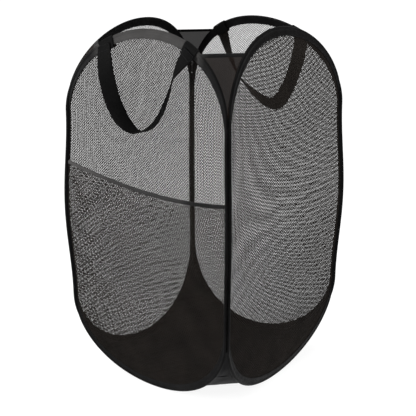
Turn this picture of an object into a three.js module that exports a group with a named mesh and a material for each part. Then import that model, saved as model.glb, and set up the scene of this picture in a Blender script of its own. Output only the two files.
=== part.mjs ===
// Pop-up laundry hamper: four spring-wire hoops bound in tape, each with a net wall, sewn edge to edge
// into an open box with cloth gussets, a hanging floor cloth, one outside pocket and two webbing handles.
// Millimetres, +Z up. The origin is the middle of the footprint on the floor. The pocket faces -Y.
import * as THREE from "three";

// Whole hamper
const height = 600;
const frontWidth = 326;
const sideWidth = 344;
const clearance = 0.3;

// Hoop outline: seams that bow outwards, then an arc above and below that leans in over the opening.
// The widths above are between the walls' outer faces at the seams' ends, where there is no bow.
const seamBottomHeight = 140;
const seamTopHeight = 458;
const seamBow = 6;
const topLean = 22;
const bottomLean = 20.5;
const leanExponent = 2;
const arcExponent = 2.04;

// Wire and the tape folded round it
const wireDiameter = 1.8;
const ferruleWall = 0.4;
const ferruleLength = 24;
const tapeThickness = 0.6;
const tapeWidth = 15;
const seamTapeWidth = 7.6;
const foldRadius = 0.6;
const seamBendRadius = 4;

// Cloth
const netThickness = 0.8;
const gussetThickness = 0.8;
const topGussetHeight = 570;
const gussetHemHeight = 5;
const gussetHemThickness = 2;
const gussetStart = 30;
const topGussetBow = 3;
const baseGussetHeight = 59;
const baseGussetBow = 3.4;
const seamLeg = 3.6;
const seamThickness = 0.6;
const baseThickness = 1;
const baseEdgeRise = 4;
const baseSag = 2;

// Pocket on the front wall
const pocketLeftHeight = 378;
const pocketRightHeight = 354;
const pocketSag = 10;
const pocketBulge = 9;
const pocketGap = 0.5;
const pocketHemHeight = 7;
const pocketHemThickness = 2;

// Webbing handles
const handleToGusset = 4.4;
const handleDrop = 130;
const strapWidth = 25;
const strapThickness = 1.6;
const loopThickness = 1.2;
const loopLength = 18;

// Counts and shares
const arcSteps = 10;
const seamSteps = 11;
const leafSteps = 3;
const netBendMargin = 1;
const wireSides = 6;
const ferruleSides = 12;
const gussetRows = 14;
const gussetColumns = 4;
const pocketRows = 12;
const baseCells = 14;
const strapSteps = 28;
const loopSteps = 3;
const baseChordShare = 0.9;
const pocketSkewShare = 0.4;
const pocketFillShare = 0.7;
const scaleRange = 20;
const scaleTolerance = 0.001;

// What follows from the sizes above
const ferruleDiameter = wireDiameter + 2 * (clearance + ferruleWall);
const pocketHalf = ferruleDiameter / 2 + clearance;
const tapeHalf = pocketHalf + tapeThickness;
const wireDepth = tapeThickness + clearance + ferruleDiameter / 2;
const wirePocketEnd = wireDepth + ferruleDiameter / 2 + clearance;
const leafInner = netThickness / 2 + clearance;
const leafOuter = leafInner + tapeThickness;
const netEdge = (wirePocketEnd + seamTapeWidth) / 2;
const frontDistance = sideWidth / 2 - tapeHalf;
const sideDistance = frontWidth / 2 - tapeHalf;
const bendToCorner = Math.SQRT2 * (tapeHalf + clearance / 2) + (Math.SQRT2 - 1) * seamBendRadius;
const frontHalf = sideDistance - bendToCorner + seamTapeWidth;
const sideHalf = frontDistance - bendToCorner + seamTapeWidth;
const baseEdgeHeight = baseGussetHeight - clearance - baseThickness;

const colours = {
  tape: { color: 0x17171a, roughness: 0.55, metalness: 0 },
  wire: { color: 0x8c8f94, roughness: 0.35, metalness: 1 },
  ferrule: { color: 0xa3a5a8, roughness: 0.4, metalness: 1 },
  net: { color: 0x232325, roughness: 0.8, metalness: 0 },
  gusset: { color: 0x2c2624, roughness: 0.85, metalness: 0 },
  floor: { color: 0x1c1c1e, roughness: 0.85, metalness: 0 },
  webbing: { color: 0x141416, roughness: 0.7, metalness: 0 },
  hem: { color: 0x3f3f44, roughness: 0.7, metalness: 0 },
};
const material = (name) => new THREE.MeshStandardMaterial(colours[name]);

function named(name, geometry, colour) {
  const mesh = new THREE.Mesh(geometry, material(colour));
  mesh.name = name;
  return mesh;
}

// Solids from sections

function signedVolume(points, triangles) {
  let volume = 0;
  for (const [a, b, c] of triangles) {
    volume += points[a].dot(new THREE.Vector3().crossVectors(points[b], points[c])) / 6;
  }
  return volume;
}

// One closed body through a row of sections. Open rows are closed by the cap triangles.
function loft(sections, caps) {
  const points = sections.flat();
  const size = sections[0].length;
  const spans = caps ? sections.length - 1 : sections.length;
  const triangles = [];
  for (let row = 0; row < spans; row += 1) {
    const here = row * size;
    const next = ((row + 1) % sections.length) * size;
    for (let i = 0; i < size; i += 1) {
      const j = (i + 1) % size;
      triangles.push([here + i, here + j, next + j], [here + i, next + j, next + i]);
    }
  }
  const last = (sections.length - 1) * size;
  for (const [a, b, c] of caps ?? []) {
    triangles.push([a, c, b], [last + a, last + b, last + c]);
  }
  if (signedVolume(points, triangles) < 0) triangles.forEach((t) => t.reverse());
  const geometry = new THREE.BufferGeometry().setFromPoints(points);
  geometry.setIndex(triangles.flat());
  geometry.computeVertexNormals();
  return geometry;
}

// Caps of a section with the given outline, turned the way that the outline runs
function capsOf(outline) {
  const corners = outline.map(([x, y]) => new THREE.Vector2(x, y));
  const clockwise = THREE.ShapeUtils.isClockWise(corners);
  return THREE.ShapeUtils.triangulateShape(corners, []).map((cap) => {
    const agrees = THREE.ShapeUtils.isClockWise(cap.map((i) => corners[i])) === clockwise;
    return agrees ? cap : cap.toReversed();
  });
}

// Caps of a strip whose section runs along one face and back along the other
function stripCaps(size) {
  const caps = [];
  for (let i = 0; i < size / 2 - 1; i += 1) {
    const back = size - 1 - i;
    caps.push([i, i + 1, back - 1], [i, back - 1, back]);
  }
  return caps;
}

// A cloth whose rows of points are given for both faces
function cloth(rows) {
  const sections = rows.map(([face, back]) => [...face, ...back.toReversed()]);
  return loft(sections, stripCaps(sections[0].length));
}

// Walls of the hamper. Each has its own frame: x along the wall, n out of it, z up.
// Along each side a wall bends an eighth of a turn outwards, so that two walls meet in a fin at their seam.

const quarterTurn = Math.PI / 2;
const eighthTurn = quarterTurn / 2;
const walls = [
  { name: "front", turn: 0, half: frontHalf, distance: frontDistance },
  { name: "right", turn: quarterTurn, half: sideHalf, distance: sideDistance },
  { name: "back", turn: 2 * quarterTurn, half: frontHalf, distance: frontDistance },
  { name: "left", turn: 3 * quarterTurn, half: sideHalf, distance: sideDistance },
];
const cornerNames = ["front_right", "back_right", "back_left", "front_left"];

const topRise = height - seamTopHeight;
const seamLength = seamTopHeight - seamBottomHeight;
const seamMiddle = seamBottomHeight + seamLength / 2;

function bowAt(z) {
  const share = Math.min(1, Math.abs(z - seamMiddle) / (seamLength / 2));
  return seamBow * Math.cos(share * quarterTurn) ** 2;
}

function leanAt(z) {
  const above = Math.max(0, (z - seamTopHeight) / topRise);
  const below = Math.max(0, (seamBottomHeight - z) / seamBottomHeight);
  return topLean * above ** leanExponent + bottomLean * below ** leanExponent;
}

const upright = new THREE.Vector3(0, 0, 1);
const bendStart = (wall, z) => wall.half - seamTapeWidth - leanAt(z);

function onPlane(wall, x, n, z) {
  const bow = bowAt(z);
  return new THREE.Vector3(x * (1 + bow / wall.half), leanAt(z) - bow - wall.distance - n, z);
}

function onWall(wall, x, n, z) {
  const flat = Math.min(Math.abs(x), bendStart(wall, z));
  const beyond = Math.abs(x) - flat;
  const angle = Math.min(beyond / seamBendRadius, eighthTurn);
  const straight = beyond - seamBendRadius * angle;
  const radius = seamBendRadius - n;
  const along = flat + radius * Math.sin(angle) + straight * Math.cos(angle);
  const out = seamBendRadius - radius * Math.cos(angle) + straight * Math.sin(angle);
  return onPlane(wall, Math.sign(x) * along, out, z);
}

const inHamper = (wall, x, n, z) => onWall(wall, x, n, z).applyAxisAngle(upright, wall.turn);

// A place on the hoop's outer edge: where it is, and which way is out of the hoop in the wall's plane
function hoopStation(wall, across, up, sideways, upwards) {
  const rise = upwards > 0 ? topRise : seamBottomHeight;
  const start = upwards > 0 ? seamTopHeight : seamBottomHeight;
  const outX = across ** (arcExponent - 1) / wall.half;
  const outZ = up ** (arcExponent - 1) / rise;
  const length = Math.hypot(outX, outZ);
  return {
    x: sideways * across * wall.half,
    z: start + upwards * up * rise,
    outX: (sideways * outX) / length,
    outZ: (upwards * outZ) / length,
  };
}

const arcShare = (other) => (1 - other ** arcExponent) ** (1 / arcExponent);

function stationAtX(wall, x) {
  const across = Math.abs(x) / wall.half;
  return hoopStation(wall, across, arcShare(across), Math.sign(x), 1);
}

function stationAtHeight(wall, z, sideways) {
  const upwards = z > seamTopHeight ? 1 : -1;
  const up = upwards > 0 ? (z - seamTopHeight) / topRise : (seamBottomHeight - z) / seamBottomHeight;
  return hoopStation(wall, arcShare(up), up, sideways, upwards);
}

// The quarter arc from a seam's end to the middle of the wall
function quarterArc(wall, sideways, upwards) {
  const stations = [];
  for (let step = 0; step <= arcSteps; step += 1) {
    const angle = (step / arcSteps) * quarterTurn;
    const across = step < arcSteps ? Math.cos(angle) ** (2 / arcExponent) : 0;
    stations.push(hoopStation(wall, across, arcShare(across), sideways, upwards));
  }
  return stations;
}

// Along one seam, from its foot to its head, without the two ends
function seamStations(wall, sideways) {
  const stations = [];
  for (let step = 1; step < seamSteps; step += 1) {
    const z = seamBottomHeight + (seamLength * step) / seamSteps;
    stations.push({ x: sideways * wall.half, z, outX: sideways, outZ: 0 });
  }
  return stations;
}

function hoop(wall) {
  return [
    ...quarterArc(wall, 1, 1),
    ...quarterArc(wall, -1, 1).toReversed().slice(1),
    ...seamStations(wall, -1).toReversed(),
    ...quarterArc(wall, -1, -1),
    ...quarterArc(wall, 1, -1).toReversed().slice(1),
    ...seamStations(wall, 1),
  ];
}

// Depth is measured from the hoop's outer edge towards its middle
const fromEdge = (wall, station, depth, n) =>
  onWall(wall, station.x - depth * station.outX, n, station.z - depth * station.outZ);

const tapeReach = (station) => seamTapeWidth + (tapeWidth - seamTapeWidth) * Math.abs(station.outZ);

// Pieces of one wall

function bindingSection(station) {
  const reach = tapeReach(station);
  const fold = [[foldRadius, tapeHalf], [0, tapeHalf - foldRadius]];
  const leaf = (n, pocketN) => {
    const points = [];
    for (let step = 0; step <= leafSteps; step += 1) {
      const share = step / leafSteps;
      points.push([reach + (wirePocketEnd - reach) * share, n + (pocketN - n) * share]);
    }
    return points;
  };
  const outside = [...leaf(leafOuter, tapeHalf), ...fold];
  const inside = [[tapeThickness, pocketHalf], ...leaf(leafInner, pocketHalf).toReversed()];
  const mirrored = (half) => half.map(([depth, n]) => [depth, -n]).toReversed();
  return [...outside, ...mirrored(outside), ...mirrored(inside), ...inside];
}

const sweep = (wall, stations, section, caps) =>
  loft(stations.map((s) => section(s).map(([depth, n]) => fromEdge(wall, s, depth, n))), caps);

function wireSection() {
  const around = [];
  for (let side = 0; side < wireSides; side += 1) {
    const angle = (side / wireSides) * 4 * quarterTurn;
    const radius = wireDiameter / 2;
    around.push([wireDepth + radius * Math.cos(angle), radius * Math.sin(angle)]);
  }
  return around;
}

// Crimped on the straight length of wire between the two middle stations of a seam
function ferrule(wall) {
  const outer = ferruleDiameter / 2;
  const bore = outer - ferruleWall;
  const end = ferruleLength / 2;
  const profile = [[bore, -end], [outer, -end], [outer, end], [bore, end], [bore, -end]];
  const geometry = new THREE.LatheGeometry(profile.map(([r, y]) => new THREE.Vector2(r, y)), ferruleSides);
  const mesh = named(`${wall.name}_hoop_ferrule`, geometry, "ferrule");
  mesh.rotation.x = quarterTurn;
  const middle = seamStations(wall, 1).slice((seamSteps - 3) / 2, (seamSteps + 1) / 2);
  const [below, above] = middle.map((s) => fromEdge(wall, s, wireDepth, 0));
  mesh.position.lerpVectors(below, above, 1 / 2);
  return mesh;
}

function netWall(wall) {
  const arcs = [quarterArc(wall, 1, -1).toReversed(), seamStations(wall, 1), quarterArc(wall, 1, 1)];
  const right = arcs.flat().filter((s) => s.x > 0);
  const face = (station, n) => {
    const [edge, z] = [station.x - netEdge * station.outX, station.z - netEdge * station.outZ];
    const bend = Math.min(bendStart(wall, z), edge - netBendMargin);
    return [-edge, -bend, bend, edge].map((x) => onWall(wall, x, n, z));
  };
  return cloth(right.map((s) => [face(s, netThickness / 2), face(s, -netThickness / 2)]));
}

// Soft pieces between two walls

// A row across a corner, from the first wall's hoop to the second's, drawn in by the bow at its middle
function cornerRow(first, second, z, gap, bow, thickness) {
  const ends = [[first, 1], [second, -1]].map(([wall, sideways]) => {
    const station = stationAtHeight(wall, z, sideways);
    return inHamper(wall, station.x + (gap * sideways) / Math.abs(station.outX), 0, z);
  });
  const along = new THREE.Vector3().subVectors(ends[1], ends[0]).setZ(0).normalize();
  const inward = new THREE.Vector3(-along.y, along.x, 0);
  const faces = [-thickness / 2, thickness / 2].map((offset) => {
    const row = [];
    for (let column = 0; column <= gussetColumns; column += 1) {
      const share = column / gussetColumns;
      const drawnIn = bow * (1 - (2 * share - 1) ** 2) + offset;
      row.push(new THREE.Vector3().lerpVectors(ends[0], ends[1], share).addScaledVector(inward, drawnIn));
    }
    return row;
  });
  return faces;
}

function cornerCloth(first, second, from, to, rows, bowAt, thickness) {
  const gap = 2 * clearance + thickness / 2;
  const found = [];
  for (let row = 0; row <= rows; row += 1) {
    const share = row / rows;
    found.push(cornerRow(first, second, from + (to - from) * share, gap, bowAt(share), thickness));
  }
  return cloth(found);
}

// An angle of tape down the inside of a corner
function seamStrip(first) {
  const standOff = leafOuter + tapeThickness;
  const outer = -standOff;
  const edge = bendStart(first, seamMiddle) + bendToCorner - standOff;
  const outline = [
    [edge - seamLeg, outer],
    [edge, outer],
    [edge, outer - seamLeg],
    [edge - seamThickness, outer - seamLeg],
    [edge - seamThickness, outer - seamThickness],
    [edge - seamLeg, outer - seamThickness],
  ];
  const inCorner = (x, n, z) => onPlane(first, x, n, z).applyAxisAngle(upright, first.turn);
  const sectionAt = (z) => outline.map(([x, n]) => inCorner(x, n, z));
  const heights = [seamBottomHeight, ...seamStations(first, 1).map((s) => s.z), seamTopHeight];
  return loft(heights.map(sectionAt), capsOf(outline));
}

// Floor cloth: sewn along the four lower arcs, raised at its cut corners, flat in the middle

function floorEdge(wall, share) {
  const arcX = stationAtHeight(wall, baseEdgeHeight, 1).x;
  const along = Math.min(1, Math.abs(share) / baseChordShare);
  const x = arcX * along * Math.sign(share);
  const across = Math.abs(x) / wall.half;
  const arcZ = seamBottomHeight * (1 - arcShare(across));
  const z = baseEdgeRise + (arcZ * (baseEdgeHeight - baseEdgeRise)) / baseEdgeHeight;
  return inHamper(wall, x, -tapeHalf - clearance, z);
}

function floorBorder(index, share) {
  const wall = walls[index];
  const beyond = (Math.abs(share) - baseChordShare) / (1 - baseChordShare);
  const own = floorEdge(wall, share);
  if (beyond <= 0) return own;
  const neighbour = walls[(index + (share > 0 ? 1 : 3)) % 4];
  return own.lerp(floorEdge(neighbour, share > 0 ? -1 : 1), beyond / 2);
}

function floorPoint(s, t) {
  const [front, back] = [floorBorder(0, s), floorBorder(2, -s)];
  const [right, left] = [floorBorder(1, t), floorBorder(3, -t)];
  const corner = (a, b) => (b < 0 ? floorBorder(0, a) : floorBorder(2, -a));
  const point = new THREE.Vector3();
  point.addScaledVector(front, (1 - t) / 2).addScaledVector(back, (1 + t) / 2);
  point.addScaledVector(left, (1 - s) / 2).addScaledVector(right, (1 + s) / 2);
  for (const [a, b] of [[-1, -1], [1, -1], [-1, 1], [1, 1]]) {
    point.addScaledVector(corner(a, b), (-(1 + a * s) * (1 + b * t)) / 4);
  }
  const [frontShare, rightShare] = [front.z / baseEdgeHeight, right.z / baseEdgeHeight];
  const saddle = baseEdgeHeight * frontShare * rightShare;
  point.z = Math.max(0, saddle - baseSag * (1 - frontShare) * (1 - rightShare));
  return point;
}

function floorCloth() {
  const rows = [];
  for (let row = 0; row <= baseCells; row += 1) {
    const under = [];
    for (let column = 0; column <= baseCells; column += 1) {
      under.push(floorPoint((2 * column) / baseCells - 1, (2 * row) / baseCells - 1));
    }
    const above = under.map((p) => p.clone().setZ(p.z + baseThickness));
    rows.push([under, above]);
  }
  return cloth(rows);
}

// Pocket: a second net on the outside of the front wall, open along a sagging hem

const pocketInner = netThickness / 2 + pocketGap;

function pocketStations(wall) {
  const lowerArc = [...quarterArc(wall, -1, -1), ...quarterArc(wall, 1, -1).toReversed().slice(1)];
  return lowerArc.map((s) => {
    const depth = tapeReach(s) + clearance;
    return { x: s.x - depth * s.outX, z: s.z - depth * s.outZ };
  });
}

function pocketShape(wall) {
  const stations = pocketStations(wall);
  const edge = stations.at(-1).x;
  const standOff = (x) => pocketBulge * (1 - (x / edge) ** 2);
  const hemTop = (x) => {
    const share = x / edge;
    const straight = pocketLeftHeight + (pocketRightHeight - pocketLeftHeight) * ((1 + share) / 2);
    return straight - pocketSag * (1 - share ** 2) * (1 + pocketSkewShare * share);
  };
  return { stations, standOff, hemTop };
}

function pocketNet(wall) {
  const { stations, standOff, hemTop } = pocketShape(wall);
  return cloth(stations.map(({ x, z }) => {
    const top = hemTop(x) - pocketHemHeight - clearance;
    const column = (offset) => {
      const points = [];
      for (let row = 0; row <= pocketRows; row += 1) {
        const share = row / pocketRows;
        const n = pocketInner + offset + standOff(x) * share ** pocketFillShare;
        points.push(onWall(wall, x, n, z + (top - z) * share));
      }
      return points;
    };
    return [column(0), column(netThickness)];
  }));
}

function pocketHem(wall) {
  const { stations, standOff, hemTop } = pocketShape(wall);
  return cloth(stations.map(({ x }) => {
    const inner = pocketInner + standOff(x);
    const column = (n) => [onWall(wall, x, n, hemTop(x) - pocketHemHeight), onWall(wall, x, n, hemTop(x))];
    return [column(inner), column(inner + pocketHemThickness)];
  }));
}

// Handles: a webbing strap that hangs in a U, flat to the wall at its ends and turned edge-on at its foot

const loopOuter = tapeHalf + clearance + loopThickness;
const handleHalf = (wall) => stationAtHeight(wall, topGussetHeight, 1).x - handleToGusset - strapWidth / 2;

// Halves the range until it holds the catenary whose ends are that far above its foot
function catenaryScale(halfSpan, drop) {
  let [low, high] = [halfSpan / scaleRange, halfSpan * scaleRange];
  while (high - low > scaleTolerance) {
    const middle = (low + high) / 2;
    if (middle * (Math.cosh(halfSpan / middle) - 1) > drop) low = middle;
    else high = middle;
  }
  return low;
}

const smooth = (share) => share * share * (3 - 2 * share);

function strap(wall) {
  const half = handleHalf(wall);
  const end = stationAtX(wall, half);
  const endDepth = loopLength / 2;
  const topZ = end.z - endDepth;
  const scale = catenaryScale(half, handleDrop);
  const reach = Math.sinh(half / scale);
  const sections = [];
  for (let step = 0; step <= strapSteps; step += 1) {
    const share = (2 * step) / strapSteps - 1;
    const x = scale * Math.asinh(share * reach);
    const z = topZ - handleDrop + scale * (Math.cosh(x / scale) - 1);
    const slope = Math.atan(Math.sinh(x / scale));
    const [sinSlope, cosSlope] = [Math.sin(slope), Math.cos(slope)];
    const twist = quarterTurn * smooth(1 - Math.abs(share));
    const [sinTwist, cosTwist] = [Math.sin(twist), Math.cos(twist)];
    const n = loopOuter + clearance + (strapThickness + sinTwist * strapWidth) / 2;
    const across = { x: -sinSlope * cosTwist, z: cosSlope * cosTwist, n: -sinTwist };
    const through = { x: -sinSlope * sinTwist, z: cosSlope * sinTwist, n: cosTwist };
    sections.push([[-1, -1], [1, -1], [1, 1], [-1, 1]].map(([a, b]) => {
      const [wide, thick] = [(a * strapWidth) / 2, (b * strapThickness) / 2];
      const at = (key) => wide * across[key] + thick * through[key];
      return onWall(wall, x + at("x"), n + at("n"), z + at("z"));
    }));
  }
  return loft(sections, stripCaps(4));
}

// The strap's end, folded over the rim and sewn down on both sides of it
function strapLoop(wall, sideways) {
  const inner = loopOuter - loopThickness;
  const outline = [
    [loopLength, loopOuter],
    [-clearance, loopOuter],
    [-clearance - loopThickness, inner],
    [-clearance - loopThickness, -inner],
    [-clearance, -loopOuter],
    [loopLength, -loopOuter],
    [loopLength, -inner],
    [-clearance, -inner],
    [-clearance, inner],
    [loopLength, inner],
  ];
  const stations = [];
  for (let step = 0; step <= loopSteps; step += 1) {
    const x = handleHalf(wall) + strapWidth * (step / loopSteps - 1 / 2);
    stations.push(stationAtX(wall, sideways * x));
  }
  return sweep(wall, stations, () => outline, capsOf(outline));
}

// Assembly

const group = new THREE.Group();

for (const wall of walls) {
  const frame = new THREE.Group();
  frame.rotation.z = wall.turn;
  frame.add(named(`${wall.name}_rim_binding`, sweep(wall, hoop(wall), bindingSection), "tape"));
  frame.add(named(`${wall.name}_wire_hoop`, sweep(wall, hoop(wall), wireSection), "wire"));
  frame.add(ferrule(wall));
  frame.add(named(`${wall.name}_mesh_panel`, netWall(wall), "net"));
  if (wall.name === "front") {
    frame.add(named("pocket_mesh", pocketNet(wall), "net"));
    frame.add(named("pocket_hem", pocketHem(wall), "hem"));
  }
  if (wall.name === "front" || wall.name === "back") {
    frame.add(named(`${wall.name}_handle_strap`, strap(wall), "webbing"));
    frame.add(named(`${wall.name}_handle_loop_left`, strapLoop(wall, -1), "webbing"));
    frame.add(named(`${wall.name}_handle_loop_right`, strapLoop(wall, 1), "webbing"));
  }
  group.add(frame);
}

cornerNames.forEach((name, index) => {
  const [first, second] = [walls[index], walls[(index + 1) % 4]];
  const hemBottom = topGussetHeight - gussetHemHeight;
  const topBow = (share) => topGussetBow * Math.sin(share * 2 * quarterTurn) ** 2;
  const baseBow = (share) => baseGussetBow * (1 - share) ** 2;
  const topCloth = cornerCloth(
    first, second, seamTopHeight + gussetStart, hemBottom - clearance, gussetRows, topBow, gussetThickness);
  const hem = cornerCloth(first, second, hemBottom, topGussetHeight, 1, () => 0, gussetHemThickness);
  const baseCloth = cornerCloth(
    first, second, baseGussetHeight, seamBottomHeight - gussetStart, gussetRows, baseBow, gussetThickness);
  group.add(named(`${name}_top_gusset`, topCloth, "gusset"));
  group.add(named(`${name}_gusset_hem`, hem, "tape"));
  group.add(named(`${name}_base_gusset`, baseCloth, "floor"));
  group.add(named(`${name}_seam`, seamStrip(first), "tape"));
});

group.add(named("base_panel", floorCloth(), "floor"));

export default group;
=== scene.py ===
import math
import bmesh
import bpy
import numpy as np
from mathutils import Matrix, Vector


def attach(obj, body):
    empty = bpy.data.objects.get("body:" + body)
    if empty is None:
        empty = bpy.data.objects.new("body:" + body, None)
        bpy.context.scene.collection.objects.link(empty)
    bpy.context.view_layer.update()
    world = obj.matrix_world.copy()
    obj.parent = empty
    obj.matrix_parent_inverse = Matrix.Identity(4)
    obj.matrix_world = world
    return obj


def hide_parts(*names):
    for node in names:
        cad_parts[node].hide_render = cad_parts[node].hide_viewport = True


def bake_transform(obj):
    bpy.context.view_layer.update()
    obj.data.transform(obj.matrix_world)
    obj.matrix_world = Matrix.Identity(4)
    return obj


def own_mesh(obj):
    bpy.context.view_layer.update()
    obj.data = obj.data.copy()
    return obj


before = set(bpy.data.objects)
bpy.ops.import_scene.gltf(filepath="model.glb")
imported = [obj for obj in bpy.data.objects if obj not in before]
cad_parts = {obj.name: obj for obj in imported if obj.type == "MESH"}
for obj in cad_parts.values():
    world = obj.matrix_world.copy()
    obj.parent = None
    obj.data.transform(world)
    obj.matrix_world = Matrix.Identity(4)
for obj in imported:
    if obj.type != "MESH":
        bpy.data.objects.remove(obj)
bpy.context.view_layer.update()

# The photographer's view. The corner between the pocket wall and the wall on its right points at
# the camera, which stands a little above the rim. The floor is white paper that glows a little.
eye_azimuth, eye_elevation, eye_distance = math.radians(36.09), math.radians(15.69), 1.640
eye_middle, aim = Vector((0, 0, 0.300)), Vector((0.0008, 0.0006, 0.2803))
towards_eye = Vector((
    math.sin(eye_azimuth) * math.cos(eye_elevation),
    -math.cos(eye_azimuth) * math.cos(eye_elevation),
    math.sin(eye_elevation),
))
camera = bpy.data.objects.new("photo_view", bpy.data.cameras.new("photo_view"))
camera.location = eye_middle + towards_eye * eye_distance
camera.rotation_euler = (aim - camera.location).to_track_quat("-Z", "Y").to_euler()
camera.data.sensor_width, camera.data.lens = 36, 81.81
camera.data.clip_start, camera.data.clip_end = 0.05, 60
bpy.context.collection.objects.link(camera)
bpy.context.scene.camera = camera
bpy.context.scene.view_settings.view_transform = "Standard"


def join_up(tree, kind, inputs=(), **settings):
    """A node with its settings. An input is a number, a colour or another node's socket."""
    made = tree.nodes.new(kind)
    for key, value in settings.items():
        setattr(made, key, value)
    for key, value in dict(inputs).items():
        if isinstance(value, bpy.types.NodeSocket):
            tree.links.new(value, made.inputs[key])
        else:
            made.inputs[key].default_value = value
    return made


def finish_named(name, colour, roughness, specular=0.5, sheen=0.0, metallic=0.0):
    """A Principled finish and its shader, whose colour, roughness and bump the caller wires up."""
    finish = bpy.data.materials.new(name)
    finish.use_nodes = True
    shader = finish.node_tree.nodes["Principled BSDF"]
    for key, value in {
        "Base Color": (*colour, 1), "Roughness": roughness, "Specular IOR Level": specular,
        "Sheen Weight": sheen, "Sheen Roughness": 0.45, "Metallic": metallic,
    }.items():
        shader.inputs[key].default_value = value
    return finish, finish.node_tree, shader


floor_reach, floor_below = 12.0, 0.0005
sweep_mesh = bpy.data.meshes.new("studio_floor")
sweep_mesh.from_pydata(
    [(a * floor_reach, b * floor_reach, -floor_below) for a, b in ((-1, -1), (1, -1), (1, 1), (-1, 1))],
    [], [(0, 1, 2, 3)])
studio_floor = bpy.data.objects.new("studio_floor", sweep_mesh)
bpy.context.collection.objects.link(studio_floor)
paper, paper_tree, paper_shader = finish_named("white_paper", (0.2, 0.2, 0.2), 0.9, 0.2)
paper_shader.inputs["Emission Color"].default_value = (1, 1, 1, 1)
paper_shader.inputs["Emission Strength"].default_value = 0.9
paper_grain = join_up(paper_tree, "ShaderNodeTexNoise", {"Scale": 60.0, "Detail": 3.0})
paper_tree.links.new(
    join_up(paper_tree, "ShaderNodeTexCoord").outputs["Object"], paper_grain.inputs["Vector"])
paper_tree.links.new(
    join_up(paper_tree, "ShaderNodeBump", {"Height": paper_grain.outputs["Fac"], "Strength": 0.05})
    .outputs["Normal"], paper_shader.inputs["Normal"])
sweep_mesh.materials.append(paper)

sky = bpy.data.worlds.new("studio_air")
sky.use_nodes = True
sky.node_tree.nodes["Background"].inputs["Color"].default_value = (1, 1, 1, 1)
sky.node_tree.nodes["Background"].inputs["Strength"].default_value = 0.5
bpy.context.scene.world = sky
for name, place, kind, size, power in (
    ("front_softbox", (-2.1, -2.9, 1.1), "AREA", 1.2, 130),
    ("side_softbox", (2.8, 0.4, 1.8), "AREA", 1.2, 18),
    ("top_softbox", (0.1, 0.5, 3.2), "AREA", 1.4, 30),
    ("ceiling_glow", (-0.8, -1.0, 3.0), "SUN", math.radians(60), 1.2),
):
    box = bpy.data.objects.new(name, bpy.data.lights.new(name, kind))
    setattr(box.data, "size" if kind == "AREA" else "angle", size)
    box.data.energy, box.location = power, place
    box.rotation_euler = (Vector((0, 0, 0.35)) - box.location).to_track_quat("-Z", "Y").to_euler()
    bpy.context.collection.objects.link(box)

# Four hoops of spring wire, one in each wall, joined end to end in a crimped steel ferrule. They are
# the CAD's own solids, hidden in the tape. Each has two bowed seams and two arcs that lean inwards,
# and turns outwards along its sides, so that two walls meet in a fin.
hamper_height, seam_head, seam_foot = 0.600, 0.458, 0.140
top_rise = hamper_height - seam_head
top_lean, foot_lean, arc_power = 0.022, 0.0205, 2.04
seam_bow, bend_radius, bend_depth, bend_to_corner = 0.006, 0.004, 0.0076, 0.0054045
hoop_samples = 6001
walls = {
    "front": {"turns": 0, "half": 0.1626955, "distance": 0.1695},
    "right": {"turns": 1, "half": 0.1716955, "distance": 0.1605},
    "back": {"turns": 2, "half": 0.1626955, "distance": 0.1695},
    "left": {"turns": 3, "half": 0.1716955, "distance": 0.1605},
}


def lean_at(z):
    above = np.maximum(0, (z - seam_head) / top_rise)
    below = np.maximum(0, (seam_foot - z) / seam_foot)
    return top_lean * above**2 + foot_lean * below**2


def on_plane(wall, x, n, z):
    """Points of the hamper from places on an unbent wall: x along it, n out of it, z up."""
    x, n, z = np.broadcast_arrays(*(np.asarray(v, float) for v in (x, n, z)))
    middle, length = (seam_head + seam_foot) / 2, seam_head - seam_foot
    from_middle = np.minimum(1, np.abs(z - middle) / length * 2)
    bow = seam_bow * np.cos(from_middle * math.pi / 2) ** 2
    x, y = x * (1 + bow / wall["half"]), lean_at(z) - bow - wall["distance"] - n
    for _ in range(wall["turns"]):
        x, y = -y, x
    return np.stack([x, y, z], axis=-1)


def on_wall(wall, x, n, z):
    """The same with the sides bent an eighth of a turn outwards."""
    x, n, z = np.broadcast_arrays(*(np.asarray(v, float) for v in (x, n, z)))
    flat = np.minimum(np.abs(x), wall["half"] - bend_depth - lean_at(z))
    beyond = np.abs(x) - flat
    turn = np.minimum(beyond / bend_radius, math.pi / 4)
    straight, radius = beyond - bend_radius * turn, bend_radius - n
    along = flat + radius * np.sin(turn) + straight * np.cos(turn)
    out = bend_radius - radius * np.cos(turn) + straight * np.sin(turn)
    return on_plane(wall, np.sign(x) * along, out, z)


def arc_share(other):
    return np.maximum(0, 1 - np.abs(other) ** arc_power) ** (1 / arc_power)


def run_of(points):
    """The length from the start of a line to each of its points."""
    return np.concatenate([[0], np.cumsum(np.linalg.norm(np.diff(points, axis=0), axis=1))])


def hoop_places(wall, spacing):
    """Even places round a hoop's outer edge: x, z, the way out of the hoop and the length so far."""
    angle = np.linspace(0, math.tau, hoop_samples)
    across, up = np.abs(np.cos(angle)) ** (2 / arc_power), np.abs(np.sin(angle)) ** (2 / arc_power)
    upper = (angle < math.pi) | (angle == math.tau)
    side = np.where((angle < math.pi / 2) | (angle > 1.5 * math.pi), 1, -1)
    x = side * across * wall["half"]
    z = np.where(upper, seam_head + up * top_rise, seam_foot - up * seam_foot)
    out_x = side * across ** (arc_power - 1) / wall["half"]
    out_z = up ** (arc_power - 1) * np.where(upper, 1 / top_rise, -1 / seam_foot)
    turn = np.unwrap(np.arctan2(out_z, out_x))
    length = run_of(np.stack([x, z], 1))
    at = np.linspace(0, length[-1], round(length[-1] / spacing) + 1)
    x, z, turn = (np.interp(at, length, v) for v in (x, z, turn))
    return x, z, np.cos(turn), np.sin(turn), at


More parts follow.
